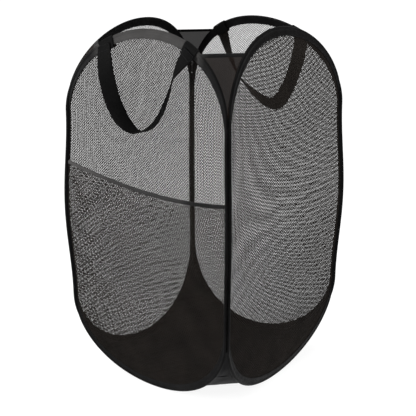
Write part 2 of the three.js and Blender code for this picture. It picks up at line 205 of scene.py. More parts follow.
steel, steel_tree, steel_shader = finish_named("spring_steel", (0.42, 0.43, 0.45), 0.32, metallic=1)
drawn = join_up(steel_tree, "ShaderNodeTexNoise", {"Scale": 900.0, "Detail": 4.0})
steel_tree.links.new(
    join_up(steel_tree, "ShaderNodeTexCoord").outputs["Object"], drawn.inputs["Vector"])
worn = join_up(steel_tree, "ShaderNodeMapRange", {"Value": drawn.outputs["Fac"], 3: 0.24, 4: 0.46})
steel_tree.links.new(worn.outputs["Result"], steel_shader.inputs["Roughness"])
steel_tree.links.new(
    join_up(steel_tree, "ShaderNodeBump", {
        "Height": drawn.outputs["Fac"], "Strength": 0.2, "Distance": 0.0002}).outputs["Normal"],
    steel_shader.inputs["Normal"])
for side in walls:
    for part in ("wire_hoop", "hoop_ferrule"):
        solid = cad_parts[f"{side}_{part}"]
        for slot in solid.material_slots:
            slot.material = steel

# Binding tape: black grosgrain folded over each wire and sewn down on both faces of the net, drawn
# narrow along the seams. It rolls round the wire at its edge, lies flat inside, and puckers on the
# arcs. Along the top of the front wall a grey highlight is painted into its colour, a painted sheen.
tape_width, tape_at_seam, tape_step, roll_end = 0.0150, 0.0076, 0.0034, 0.0052
# Its two surfaces on the front leaf, as depths and stand-offs in millimetres. A depth from 0 up is
# instead a share of the way from the roll to the inner edge, and below 0 it goes round the wire.
tape_face = [
    (1.00, 1.05), (0.92, 1.25), (0.80, 1.30), (0.60, 1.36), (0.30, 1.46), (0.00, 1.72),
    (-0.9, 2.15), (-1.9, 2.40), (-3.0, 2.38), (-4.0, 1.98), (-4.75, 1.20), (-5.1, 0.55), (-5.2, 0)]
tape_back = [
    (1.00, 0.58), (0.92, 0.70), (0.80, 0.74), (0.60, 0.78), (0.30, 0.88), (0.00, 1.15),
    (-0.75, 1.60), (-1.7, 1.88), (-2.7, 1.90), (-3.5, 1.62), (-4.15, 0.98), (-4.5, 0.45), (-4.6, 0)]
edge_sway, edge_wave = 0.00022, 0.021
seam_pucker, arc_pucker, pucker_wave, arc_onset = 0.06, 0.24, 0.0135, 1.6  # puckers in millimetres
loose_after, loose_until = 0.004, 1.35
stitch_row, stitch_length, stitch_thread, stitch_feel = 0.0032, 0.0026, 0.00042, 0.0005
stitch_inset, stitch_off = 0.0019, 0.00142
rib_pitch, weft_pitch = 0.00095, 0.0006


def tape_reach(out_z):
    return tape_at_seam + (tape_width - tape_at_seam) * np.abs(out_z)


def folded(half, reach):
    """Depth and stand-off of a surface of the tape, from its front leaf to its back leaf."""
    depth = np.stack([
        roll_end + (reach - roll_end) * a if a >= 0 else reach * 0 + roll_end + a / 1000
        for a, _ in half], axis=1)
    n = np.array([b / 1000 for _, b in half])
    return np.hstack([depth, depth[:, -2::-1]]), np.concatenate([n, -n[-2::-1]])


def sewn(name, face, back, finish, u, v, closed=False):
    """A closed cloth between two faces, [along, across, xyz] each. u and v are lengths in metres."""
    ring = np.concatenate([face, back[:, ::-1]], axis=1)
    rows, size = ring.shape[:2]
    spans = rows if closed else rows - 1
    r, i = (a.ravel() for a in np.meshgrid(np.arange(spans), np.arange(size), indexing="ij"))
    after, beside = (r + 1) % rows, (i + 1) % size
    quads = np.stack([r * size + i, r * size + beside, after * size + beside, after * size + i], 1)
    flat = [np.broadcast_to(a, (spans + 1, face.shape[1])) for a in (np.asarray(u), np.asarray(v))]
    flat = np.stack([np.hstack([a, a[:, ::-1]]) for a in flat], axis=-1)
    corners = np.stack([flat[r, i], flat[r, beside], flat[r + 1, beside], flat[r + 1, i]], 1)
    if not closed:
        j = np.arange(face.shape[1] - 1)
        cap = np.stack([j, size - 1 - j, size - 2 - j, j + 1], 1)
        last = (rows - 1) * size
        quads = np.concatenate([quads, cap, cap[:, ::-1] + last])
        corners = np.concatenate([corners, flat[0][cap], flat[-1][cap[:, ::-1]]])
    mesh = bpy.data.meshes.new(name)
    mesh.from_pydata(ring.reshape(-1, 3).tolist(), [], quads.tolist())
    mesh.uv_layers.new(name="cloth").data.foreach_set("uv", corners.astype(np.float32).ravel())
    work = bmesh.new()
    work.from_mesh(mesh)
    bmesh.ops.remove_doubles(work, verts=work.verts, dist=1e-6)
    bmesh.ops.recalc_face_normals(work, faces=work.faces)
    work.to_mesh(mesh)
    work.free()
    mesh.shade_smooth()
    mesh.set_sharp_from_angle(angle=math.radians(50))
    mesh.materials.append(finish)
    piece = bpy.data.objects.new(name, mesh)
    bpy.context.collection.objects.link(piece)
    return piece


def ripple(length, wave, seed):
    """A smooth uneven ripple from -1 to 1 along a length."""
    phase = np.random.default_rng(seed).uniform(0, math.tau, 4)
    waves = [(1.0, 0.45), (1.618, 0.3), (0.618, 0.3), (2.41, 0.15)]
    return sum(
        share * np.sin(math.tau * np.asarray(length) * rate / wave + p)
        for (rate, share), p in zip(waves, phase)) / 0.9


def cloth_lengths(tree):
    """The sockets that give a finish its place along and across the cloth, in metres."""
    across = join_up(tree, "ShaderNodeSeparateXYZ", {
        "Vector": join_up(tree, "ShaderNodeTexCoord").outputs["UV"]})
    return across.outputs["X"], across.outputs["Y"]


def reckon(tree, operation, a, b=0.0, c=0.0):
    return join_up(tree, "ShaderNodeMath", {0: a, 1: b, 2: c}, operation=operation).outputs["Value"]


def times(tree, first, *others):
    """The product of numbers and sockets."""
    for other in others:
        first = reckon(tree, "MULTIPLY", first, other)
    return first


def thread_rounds(tree, length, pitch):
    """Rounded ridges, one for each thread laid side by side along a length."""
    return reckon(tree, "ABSOLUTE", reckon(tree, "SINE", times(tree, length, math.pi / pitch)))


def uneven(tree, scale, low, high):
    """Slow unevenness over the whole piece, from low to high."""
    place = join_up(tree, "ShaderNodeTexCoord").outputs["Object"]
    cloud = join_up(tree, "ShaderNodeTexNoise", {"Vector": place, "Scale": scale, "Detail": 3.0})
    spread = join_up(tree, "ShaderNodeMapRange", {
        "Value": cloud.outputs["Fac"], 1: 0.3, 2: 0.7, 3: low, 4: high})
    return spread.outputs["Result"]


def two_tone(tree, share, dark, light):
    """Mixes two colours, or sockets, by a share."""
    dark, light = ((*a, 1) if isinstance(a, tuple) else a for a in (dark, light))
    return join_up(tree, "ShaderNodeMix", {
        "Factor": share, "A": dark, "B": light}, data_type="RGBA").outputs["Result"]


def wire_up_finish(tree, shader, colour, roughness, height, strength, depth):
    """Wires a finish's colour, roughness and bump to its shader."""
    tree.links.new(colour, shader.inputs["Base Color"])
    tree.links.new(roughness, shader.inputs["Roughness"])
    bump = join_up(tree, "ShaderNodeBump", {
        "Height": height, "Strength": strength, "Distance": depth})
    tree.links.new(bump.outputs["Normal"], shader.inputs["Normal"])


grosgrain, tape_tree, tape_shader = finish_named(
    "black_grosgrain", (0.005, 0.005, 0.006), 0.42, specular=0.03)
along, across = cloth_lengths(tape_tree)
ribs = thread_rounds(tape_tree, along, rib_pitch)
weft = thread_rounds(tape_tree, across, weft_pitch)
rib_height = reckon(tape_tree, "MULTIPLY_ADD", weft, 0.3, ribs)
rib_light = times(tape_tree, rib_height, uneven(tape_tree, 34.0, 0.15, 0.75))
tape_place = join_up(tape_tree, "ShaderNodeSeparateXYZ", {
    "Vector": join_up(tape_tree, "ShaderNodeTexCoord").outputs["Object"]})
# Painted sheen: these masks pick the top of the front hoop's arc, high, at the front and near the
# middle, where a grey highlight is painted into the tape's colour.
high, near, middle = (
    join_up(tape_tree, "ShaderNodeMapRange", {"Value": place, 1: a, 2: b}).outputs["Result"]
    for place, a, b in (
        (tape_place.outputs["Z"], 0.535, 0.58), (tape_place.outputs["Y"], -0.125, -0.140),
        (reckon(tape_tree, "ABSOLUTE", tape_place.outputs["X"]), 0.112, 0.100)))
painted_sheen = times(tape_tree, high, near, middle, reckon(tape_tree, "MULTIPLY_ADD", rib_light, 0.5, 0.6))
tape_own_colour = two_tone(tape_tree, rib_light, (0.0014, 0.0014, 0.0015), (0.0075, 0.0073, 0.0075))
# The pale colour is the painted highlight. The ribbed dark tones are the tape's own colour.
wire_up_finish(
    tape_tree, tape_shader, two_tone(tape_tree, painted_sheen, tape_own_colour, (0.048, 0.0465, 0.0455)),
    uneven(tape_tree, 60.0, 0.32, 0.46), rib_height, strength=0.45, depth=0.00018)

thread_black, thread_tree, thread_shader = finish_named(
    "sewing_thread", (0.008, 0.008, 0.009), 0.5, specular=0.15)
twist = join_up(thread_tree, "ShaderNodeTexWave", {
    "Vector": join_up(thread_tree, "ShaderNodeTexCoord").outputs["Object"],
    "Scale": 1400.0, "Distortion": 1.5}, bands_direction="DIAGONAL")
wire_up_finish(
    thread_tree, thread_shader,
    two_tone(thread_tree, twist.outputs["Fac"], (0.004, 0.004, 0.005), (0.016, 0.016, 0.018)),
    uneven(thread_tree, 200.0, 0.4, 0.6), twist.outputs["Fac"], strength=0.3, depth=0.0001)


def tree_with(name, inputs):
    """A Geometry Nodes tree with its named inputs and one geometry output."""
    tree = bpy.data.node_groups.new(name, "GeometryNodeTree")
    tree.interface.new_socket("Geometry", in_out="INPUT", socket_type="NodeSocketGeometry")
    for label, kind in inputs:
        tree.interface.new_socket(label, in_out="INPUT", socket_type=kind)
    tree.interface.new_socket("Geometry", in_out="OUTPUT", socket_type="NodeSocketGeometry")
    return tree, join_up(tree, "NodeGroupInput").outputs


def close_tree(tree, geometry, finish):
    """Ends a tree in plain geometry with its finish."""
    plain = join_up(tree, "GeometryNodeRealizeInstances", {"Geometry": geometry})
    smooth = join_up(tree, "GeometryNodeSetShadeSmooth", {"Geometry": plain.outputs["Geometry"]})
    worn = join_up(tree, "GeometryNodeSetMaterial", {
        "Geometry": smooth.outputs["Geometry"], "Material": finish})
    join_up(tree, "NodeGroupOutput", {"Geometry": worn.outputs["Geometry"]})


stitch_rule, given = tree_with("row_of_stitches", [
    ("Stitch Length", "NodeSocketFloat"), ("Thread Diameter", "NodeSocketFloat"),
    ("Finish", "NodeSocketMaterial")])
bead = join_up(stitch_rule, "GeometryNodeMeshIcoSphere", {"Radius": 0.5, "Subdivisions": 1})
bead_size = join_up(stitch_rule, "ShaderNodeCombineXYZ", {
    "X": given["Stitch Length"], "Y": given["Thread Diameter"], "Z": given["Thread Diameter"]})
stitch = join_up(stitch_rule, "GeometryNodeTransform", {
    "Geometry": bead.outputs["Mesh"], "Scale": bead_size.outputs["Vector"]})
laid = join_up(stitch_rule, "FunctionNodeAxesToRotation", {
    "Primary Axis": join_up(
        stitch_rule, "GeometryNodeInputNamedAttribute", {"Name": "along"},
        data_type="FLOAT_VECTOR").outputs["Attribute"],
    "Secondary Axis": join_up(
        stitch_rule, "GeometryNodeInputNamedAttribute", {"Name": "facing"},
        data_type="FLOAT_VECTOR").outputs["Attribute"],
}, primary_axis="X", secondary_axis="Z")
stitched = join_up(stitch_rule, "GeometryNodeInstanceOnPoints", {
    "Points": given["Geometry"], "Instance": stitch.outputs["Geometry"],
    "Rotation": laid.outputs["Rotation"]})
close_tree(stitch_rule, stitched.outputs["Instances"], given["Finish"])


def made_by(tree, piece, sizes):
    """Runs a tree on a piece and leaves the result as its plain mesh."""
    rule = piece.modifiers.new("rule", "NODES")
    rule.node_group = tree
    for item in tree.interface.items_tree:
        if item.in_out == "INPUT" and item.name in sizes:
            rule[item.identifier] = sizes[item.name]
    bpy.context.view_layer.update()
    settled = bpy.context.evaluated_depsgraph_get()
    grown = bpy.data.meshes.new_from_object(piece.evaluated_get(settled), depsgraph=settled)
    piece.modifiers.remove(rule)
    grown.name = piece.name
    piece.data = grown
    return piece


def stitches(name, lines, pitch=stitch_row, length=stitch_length):
    """Rows of stitches in one piece. A line is its points and the way the cloth faces there."""
    places, alongs, facings = [], [], []
    for points, facing in lines:
        points, facing = np.asarray(points, float), np.broadcast_to(facing, np.shape(points))
        far = run_of(points)
        count = max(1, round(far[-1] / pitch))
        at = (np.arange(count) + 0.5) * far[-1] / count
        pick = [np.stack([np.interp(at + d, far, points[:, k]) for k in range(3)], 1)
                for d in (-stitch_feel, 0, stitch_feel)]
        places.append(pick[1])
        alongs.append(pick[2] - pick[0])
        facings.append(np.stack([np.interp(at, far, facing[:, k]) for k in range(3)], 1))
    mesh = bpy.data.meshes.new(name)
    mesh.from_pydata(np.concatenate(places).tolist(), [], [])
    for label, values in (("along", alongs), ("facing", facings)):
        kept = mesh.attributes.new(label, "FLOAT_VECTOR", "POINT")
        kept.data.foreach_set("vector", np.concatenate(values).astype(np.float32).ravel())
    row = bpy.data.objects.new(name, mesh)
    bpy.context.collection.objects.link(row)
    made_by(stitch_rule, row, {
        "Stitch Length": length, "Thread Diameter": stitch_thread, "Finish": thread_black})
    return row


def wall_facing(wall, out=1.0):
    """The way that a wall's outer face looks, or its inner one."""
    x, y = 0.0, -out
    for _ in range(wall["turns"]):
        x, y = -y, x
    return np.array([x, y, 0.0])


for number, (side, wall) in enumerate(walls.items()):
    *hoop, around = hoop_places(wall, tape_step)
    x, z, out_x, out_z = (a[:-1] for a in hoop)
    arcs = np.clip(np.abs(out_z) * arc_onset, 0, 1)
    reach = tape_reach(out_z) + edge_sway * ripple(around[:-1], edge_wave, number)
    pucker = (seam_pucker + arc_pucker * arcs) / 1000
    pucker = pucker * (1 + ripple(around[:-1], pucker_wave, 10 + number))
    skins = []
    for half in (tape_face, tape_back):
        depth, n = folded(half, reach)
        loose = np.clip((depth - roll_end) / loose_after, 0, 1) \
            * np.clip(loose_until - depth / reach[:, None], 0, 1)
        n = n + np.sign(n) * loose * pucker[:, None]
        skins.append(on_wall(
            wall, x[:, None] - depth * out_x[:, None], n, z[:, None] - depth * out_z[:, None]))
    width = run_of(skins[0][0])
    binding = sewn(
        f"{side}_tape_binding", *skins, grosgrain, around[:, None], width[None], closed=True)
    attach(binding, f"{side}_frame")
    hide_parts(f"{side}_rim_binding")
    rows = []
    for out in (1, -1):
        depth = tape_reach(out_z) - stitch_inset
        line = on_wall(wall, x - depth * out_x, out * stitch_off, z - depth * out_z)
        rows.append((np.concatenate([line, line[:1]]), wall_facing(wall, out)))
    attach(stitches(f"{side}_binding_stitches", rows), f"{side}_frame")

# Net walls: black polyester net cut on the bias, so that its threads cross at a slant, and not
# quite evenly. Each is stretched in its hoop with its edge caught between the leaves of the tape.
net_cuts = {  # degrees of slant, and the pitch and diameter of the threads
    "front": (44, 0.0032, 0.00088), "right": (46, 0.0032, 0.00104),
    "back": (30, 0.0026, 0.00085), "left": (64, 0.0020, 0.00051), "pocket": (70, 0.0034, 0.00092)}
net_step, thread_stray, net_wave, net_wave_length = 0.020, 0.03, 0.0004, 0.08
net_inset, net_edge_step, thread_apart, thread_sides = 0.0058, 0.008, 0.00013, 6

net_black, net_tree, net_shader = finish_named(
    "black_net", (0.020, 0.018, 0.016), 0.65, specular=0.06)
strand = join_up(net_tree, "ShaderNodeTexWave", {
    "Vector": join_up(net_tree, "ShaderNodeTexCoord").outputs["Object"],
    "Scale": 900.0, "Distortion": 2.0, "Detail": 2.0}, bands_direction="DIAGONAL")
wire_up_finish(
    net_tree, net_shader,
    two_tone(net_tree, times(net_tree, strand.outputs["Fac"], uneven(net_tree, 25.0, 0.3, 1.0)),
             (0.007, 0.0056, 0.0048), (0.031, 0.0255, 0.0215)),
    uneven(net_tree, 90.0, 0.5, 0.7), strand.outputs["Fac"], strength=0.35, depth=0.00015)

net_rule, given = tree_with("net_of_threads", [
    ("Thread Diameter", "NodeSocketFloat"), ("Sides", "NodeSocketInt"),
    ("Finish", "NodeSocketMaterial")])
thread_line = join_up(net_rule, "GeometryNodeMeshToCurve", {"Mesh": given["Geometry"]})
thread_round = join_up(net_rule, "GeometryNodeCurvePrimitiveCircle", {
    "Resolution": given["Sides"],
    "Radius": times(net_rule, given["Thread Diameter"], 0.5)}, mode="RADIUS")
threads = join_up(net_rule, "GeometryNodeCurveToMesh", {
    "Curve": thread_line.outputs["Curve"], "Profile Curve": thread_round.outputs["Curve"],
    "Fill Caps": True})
close_tree(net_rule, threads.outputs["Mesh"], given["Finish"])


def slanted(outline, slant, pitch, stray):
    """Threads side by side across a convex outline of (x, z) corners, each as its two ends."""
    along = np.array([math.cos(slant), math.sin(slant)])
    aside = np.array([-along[1], along[0]])
    ends = []
    edges = np.roll(outline, -1, axis=0) - outline
    inward = np.stack([-edges[:, 1], edges[:, 0]], 1)
    if np.sum((outline.mean(0) - outline) * inward) < 0:
        inward = -inward
    reach = outline @ aside
    for k in np.arange(math.ceil(reach.min() / pitch), math.floor(reach.max() / pitch) + 1):
        start = aside * pitch * (k + thread_stray * stray.standard_normal())
        run, room = inward @ along, np.sum((outline - start) * inward, axis=1)
        enter = (room[run > 1e-12] / run[run > 1e-12]).max()
        leave = (room[run < -1e-12] / run[run < -1e-12]).min()
        if leave - enter > pitch:
            ends.append((start + along * enter, start + along * leave))
    return ends


def net(name, side, cut, outline, stand_off, seed, lower=None):
    """A net of two families of threads in an outline, which stands off its wall by stand_off.
    lower cuts each thread off, or drops it."""
    points, lines, stray = [], [], np.random.default_rng(seed)
    slant, pitch, thread = net_cuts[cut]
    for way in (1, -1):
        for first, last in slanted(outline, way * math.radians(slant), pitch, stray):
            if lower is not None:
                first, last = lower(first, last)
                if first is None:
                    continue
            count = max(1, math.ceil(np.linalg.norm(last - first) / net_step))
            share = np.linspace(0, 1, count + 1)[:, None]
            x, z = (first + (last - first) * share).T
            begin = len(points)
            x, z = (
                x + net_wave * ripple(z + 0.4 * x, net_wave_length, seed),
                z + net_wave * ripple(x - 0.3 * z, net_wave_length, seed + 1))
            points += on_wall(walls[side], x, stand_off(x, z) + way * thread_apart, z).tolist()
            lines += [(begin + i, begin + i + 1) for i in range(count)]
    mesh = bpy.data.meshes.new(name)
    mesh.from_pydata(points, lines, [])
    piece = bpy.data.objects.new(name, mesh)
    bpy.context.collection.objects.link(piece)
    made_by(net_rule, piece, {
        "Thread Diameter": thread, "Sides": thread_sides, "Finish": net_black})
    return piece


for number, (side, wall) in enumerate(walls.items()):
    x, z, out_x, out_z, _ = (a[:-1] for a in hoop_places(wall, net_edge_step))
    edge = np.stack([x - net_inset * out_x, z - net_inset * out_z], 1)
    panel = net(f"{side}_net", side, side, edge, lambda x, z: x * 0, 20 + 2 * number)
    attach(panel, f"{side}_frame")
    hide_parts(f"{side}_mesh_panel")

# The pocket: a second net on the outside of the front wall, caught in the tape along its bottom and
# sides. Its top edge is bound in a hem tape that sags between the seams and stands off the wall. The
# tape is black with a painted sheen that makes it grey, palest at its left end and gone at its right.
pocket_left, pocket_right, pocket_sag, pocket_bulge = 0.378, 0.354, 0.010, 0.009
pocket_off, pocket_caught, pocket_below, pocket_over = 0.0009, 0.0008, 0.30, 0.41
hem_height, hem_half, hem_over, hem_sway, hem_wave = 0.0060, 0.0011, 0.0006, 0.00018, 0.017
hem_cover, twill_pitch = 0.6, 0.0009
hem_hold = hem_height * hem_cover
front = walls["front"]
pocket_edge = front["half"] - tape_at_seam


def hem_top(x):
    share = x / pocket_edge
    straight = pocket_left + (pocket_right - pocket_left) * (1 + share) / 2
    return straight - pocket_sag * (1 - share**2) * (1 + 0.4 * share)


x, z, out_x, out_z, _ = hoop_places(front, 0.004)
low = z < pocket_below
depth = tape_reach(out_z[low]) - pocket_caught
foot_x, foot_z = x[low] - depth * out_x[low], z[low] - depth * out_z[low]
pocket_outline = np.concatenate([
    np.stack([foot_x, foot_z], 1), [[foot_x[-1], pocket_over], [foot_x[0], pocket_over]]])
order = np.argsort(foot_x)
foot_x, foot_z = foot_x[order], foot_z[order]


def belly(x):
    return pocket_bulge * np.maximum(0, 1 - (x / pocket_edge) ** 2)


def pocket_stand_off(x, z):
    """How far out of the wall the pocket is, from where it leaves the lower arc's tape to its hem."""
    foot, top = np.interp(x, foot_x, foot_z), hem_top(x) - hem_hold
    share = np.clip((z - foot) / np.maximum(top - foot, 1e-6), 0, 1)
    return pocket_off + belly(x) * share**0.7


def under_hem(first, last):
    """Cuts a thread off where it meets the hem."""
    share = np.linspace(0, 1, 400)
    x, z = (first + (last - first) * share[:, None]).T
    inside = np.flatnonzero(z < hem_top(x) - hem_hold)
    if len(inside) < 4:
        return None, None
    return first + (last - first) * share[inside[0]], first + (last - first) * share[inside[-1]]


pocket = net("pocket_net", "front", "pocket", pocket_outline, pocket_stand_off, 28, under_hem)
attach(pocket, "front_frame")
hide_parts("pocket_mesh")

hem_grey, hem_tree, hem_shader = finish_named(
    "grey_hem_tape", (0.03, 0.03, 0.032), 0.55, specular=0.09, sheen=0.02)
along, across = cloth_lengths(hem_tree)
hem_twill = thread_rounds(hem_tree, reckon(hem_tree, "ADD", along, across), twill_pitch)
# Painted sheen along the hem: its grey is a highlight painted into the colour. It is palest at the left
# end and cut off to black at the right end.
sheen_left_end, sheen_cut_right = (
    join_up(hem_tree, "ShaderNodeMapRange", {"Value": along, 1: a, 2: b, 3: 1.0, 4: rest})
    .outputs["Result"] for a, b, rest in ((0.045, 0.105, 0.42), (0.236, 0.252, 0.0)))
hem_twill_and_sheen = times(
    hem_tree, reckon(hem_tree, "MULTIPLY_ADD", hem_twill, 0.35, 0.65), sheen_cut_right, sheen_left_end,
    uneven(hem_tree, 22.0, 0.7, 1.0))
# The pale colour is the painted sheen, and the twill and unevenness are the tape's own. The dark colour
# is the tape's own black.
wire_up_finish(
    hem_tree, hem_shader,
    two_tone(hem_tree, hem_twill_and_sheen, (0.003, 0.003, 0.003), (0.054, 0.0515, 0.0505)),
    uneven(hem_tree, 60.0, 0.42, 0.6), hem_twill, strength=0.35, depth=0.00015)

x = np.linspace(-pocket_edge - hem_over, pocket_edge + hem_over, 121)
drop = np.array([1.0, 0.985, 0.8, 0.45, 0.15, 0.04, 0.0])[None] * hem_height
stand = np.array([0.55, 0.85, 1.0, 1.0, 0.98, 0.7, 0.25])[None] * hem_half
middle = (pocket_off + belly(x) + hem_half)[:, None]
wavy = hem_sway * ripple(x, hem_wave, 31)[:, None] * drop / hem_height
hem_skins = [
    on_wall(front, x[:, None], middle + out * stand + wavy, hem_top(x)[:, None] - drop)
    for out in (1, -1)]
hem = sewn("pocket_hem_tape", *hem_skins, hem_grey, (x - x[0])[:, None], drop)
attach(hem, "front_frame")
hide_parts("pocket_hem")
inner_x = x[2:-2]
rows = []
for share in (0.18, 0.82):
    off = pocket_off + belly(inner_x) + hem_half * 2.02  # just proud of the hem
    line = on_wall(front, inner_x, off, hem_top(inner_x) - hem_height * share)
    rows.append((line, wall_facing(front)))
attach(stitches("pocket_hem_stitches", rows), "front_frame")

# Corner cloths: thin brown-black nylon, a little sheer, that fills the gap between two neighbouring
# hoops above their seam, with a folded hem along its straight top. It is sewn into the edge of both
# bindings. The one at the back right is cut in two, because the fold's linkage is opened there.
corner_names = ["front_right", "back_right", "back_left", "front_left"]
side_names, wall_list = list(walls), list(walls.values())
gusset_top, gusset_hem, gusset_thick, gusset_start = 0.570, 0.005, 0.0006, 0.026
gusset_crease, gusset_bow, gusset_fold, gusset_wave, cloth_tuck = 0.012, 0.003, 0.0011, 0.026, 0.0006
gusset_hem_bow, half_keep, nylon_pitch = 0.0002, 0.35, 0.0005

nylon, nylon_tree, nylon_shader = finish_named(
    "brown_black_nylon", (0.016, 0.012, 0.010), 0.6, specular=0.04)
nylon_shader.inputs["Alpha"].default_value = 0.80
along, across = cloth_lengths(nylon_tree)
plain_weave = times(nylon_tree, *(thread_rounds(nylon_tree, a, nylon_pitch) for a in (along, across)))
nylon_light = times(nylon_tree, plain_weave, uneven(nylon_tree, 30.0, 0.4, 1.0))
wire_up_finish(
    nylon_tree, nylon_shader,
    two_tone(nylon_tree, nylon_light, (0.005, 0.0028, 0.0020), (0.014, 0.0085, 0.0062)),
    uneven(nylon_tree, 45.0, 0.5, 0.7), plain_weave, strength=0.3, depth=0.00012)


def edge_at(wall, z):
    """How far from the middle of a wall its hoop's outer edge is, at a height."""
    up = np.where(z > seam_head, (z - seam_head) / top_rise, (seam_foot - z) / seam_foot)
    return wall["half"] * arc_share(np.clip(up, 0, 1))


def corner_grid(index, z, shares, bow, sink=0.0):
    """Points [height, across, xyz] of a cloth from one wall's hoop to the next one's, and the way
    in. It hangs in by bow in its middle and by sink all along."""
    first, second = wall_list[index], wall_list[(index + 1) % 4]
    start = on_wall(first, edge_at(first, z) - cloth_tuck, 0, z)
    end = on_wall(second, -edge_at(second, z) + cloth_tuck, 0, z)
    along = end - start
    along[:, 2] = 0
    along /= np.linalg.norm(along, axis=1, keepdims=True)
    inward = np.stack([-along[:, 1], along[:, 0], along[:, 0] * 0], 1)
    drawn = bow[:, None] * (1 - (2 * shares[None] - 1) ** 2)
    drawn = drawn + np.broadcast_to(sink, z.shape)[:, None]
    grid = start[:, None] + (end - start)[:, None] * shares[None, :, None]
    return grid + inward[:, None] * drawn[..., None], inward[:, None]


def corner_sizes(grid):
    """The lengths along and across a corner's cloth at every point."""
    across = np.linalg.norm(grid - grid[:, :1], axis=2)
    up = np.broadcast_to(grid[:, :1, 2], across.shape)
    return up, across


def halves_of(index):
    """The pieces that a corner's cloth is cut into: its name's ending, its share and its walls."""
    first, second = side_names[index], side_names[(index + 1) % 4]
    if corner_names[index] == "back_right":
        return [("_right_half", (0, 0.5), [first]), ("_back_half", (0.5, 1), [second])]
    return [("", (0, 1), [first, second])]


def bend_between(piece, sides, ends):
    """Bakes a piece's placement into its mesh. It does not bend the piece with the fold of its corner.
    """
    if sides == ["left", "front"]:
        sides, ends = sides[::-1], ends[::-1]
    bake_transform(piece)


def hang_corner(piece, sides, width, node):
    """Hides the CAD part. Then it bakes a corner's cloth in place, or attaches a half of it to its
    wall's frame.
    """
    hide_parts(node)
    first, second = walls[sides[0]], walls[sides[-1]]
    if len(sides) == 2:
        bend_between(piece, sides, [
            on_wall(first, first["half"] - width, 0, seam_head),
            on_wall(second, width - second["half"], 0, seam_head)])
        return
    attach(piece, f"{sides[0]}_frame")
    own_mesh(piece)


for index, corner in enumerate(corner_names):
    z = np.linspace(seam_head + gusset_start, gusset_top - gusset_hem * hem_cover, 44)
    height = (z - z[0]) / (z[-1] - z[0])
    for ending, (low, high), sides in halves_of(index):
        shares = np.linspace(low, high, round(28 * (high - low)) + 1)
        grid, inward = corner_grid(index, z, shares, gusset_bow * np.sin(math.pi * height) ** 2)
        up, across = corner_sizes(grid)
        slack = np.sin(math.pi * height)[:, None] * np.sin(math.pi * shares)[None]
        folds = gusset_fold * slack * ripple(across * 1.2 + up * 0.35, gusset_wave, 40 + index)
        cut = grid = grid + inward * folds[..., None]
        cloth = sewn(
            f"{corner}_corner_cloth{ending}", grid + inward * gusset_thick / 2,
            grid - inward * gusset_thick / 2, nylon, up, across)
        hang_corner(cloth, sides, gusset_crease, f"{corner}_top_gusset")
        drop = np.array([1.0, 0.97, 0.7, 0.35, 0.1, 0.0]) * gusset_hem
        stand = np.array([0.5, 0.8, 0.95, 0.95, 0.75, 0.3]) / 1000
        hem_z = gusset_top - drop
        grid, inward = corner_grid(index, hem_z, shares, hem_z * 0 + gusset_hem_bow)
        grid, inward = grid.transpose(1, 0, 2), inward.transpose(1, 0, 2)
        skins = [grid + out * inward * stand[None, :, None] for out in (1, -1)]
        length = np.linalg.norm(grid[:, :1] - grid[:1, :1], axis=2)
        strip = sewn(f"{corner}_corner_hem{ending}", *skins, grosgrain, length, drop[None])
        hang_corner(strip, sides, gusset_crease, f"{corner}_gusset_hem")

# Foot cloths: the same fill below the seams, in the floor's black cloth, sewn to both hoops and
# along their lower edge to the corner of the floor.
foot_low, foot_bow, foot_sink, foot_crease, cloth_thick = 0.0580, 0.0010, 0.0046, 0.010, 0.0007
foot_fold, foot_wave, oxford_pitch = 0.0007, 0.019, 0.0007

oxford, oxford_tree, oxford_shader = finish_named(
    "black_oxford", (0.008, 0.008, 0.009), 0.6, specular=0.06)
along, across = cloth_lengths(oxford_tree)
warp, weft = (thread_rounds(oxford_tree, a, oxford_pitch) for a in (along, across))
basket = reckon(oxford_tree, "MAXIMUM", warp, weft)
oxford_light = times(oxford_tree, basket, uneven(oxford_tree, 18.0, 0.2, 1.0))
wire_up_finish(
    oxford_tree, oxford_shader,
    two_tone(oxford_tree, oxford_light, (0.003, 0.003, 0.0033), (0.009, 0.009, 0.0096)),
    uneven(oxford_tree, 30.0, 0.5, 0.72), basket, strength=0.3, depth=0.00018)

for index, corner in enumerate(corner_names):
    z = np.linspace(foot_low, seam_foot - gusset_start, 32)
    height = (z - z[0]) / (z[-1] - z[0])
    for ending, (low, high), sides in halves_of(index):
        shares = np.linspace(low, high, round(24 * (high - low)) + 1)
        drawn = (1 - height) ** 4
        grid, inward = corner_grid(index, z, shares, foot_bow * drawn, foot_sink * drawn)
        up, across = corner_sizes(grid)
        slack = (1 - height)[:, None] * np.sin(math.pi * shares)[None]
        folds = foot_fold * slack * ripple(across, foot_wave, 60 + index)
        grid = grid + inward * folds[..., None]
        cloth = sewn(
            f"{corner}_foot_cloth{ending}", grid + inward * cloth_thick / 2,
            grid - inward * cloth_thick / 2, oxford, up, across)
        hang_corner(cloth, sides, foot_crease, f"{corner}_base_gusset")

# Seam tapes: a narrow angle of the binding tape down the inside of each corner, where the two walls
# turn outwards into their fin. It runs on behind the cloths above and below. The one at the back
# right is in two, one inside the other.
seam_leg, seam_thick, seam_gap, seam_run_on, seam_round = 0.0024, 0.0006, 0.0019, 0.025, 0.0010
seam_sway, seam_wave, seam_inner, hinge_height = 0.00012, 0.03, 0.0008, 0.3

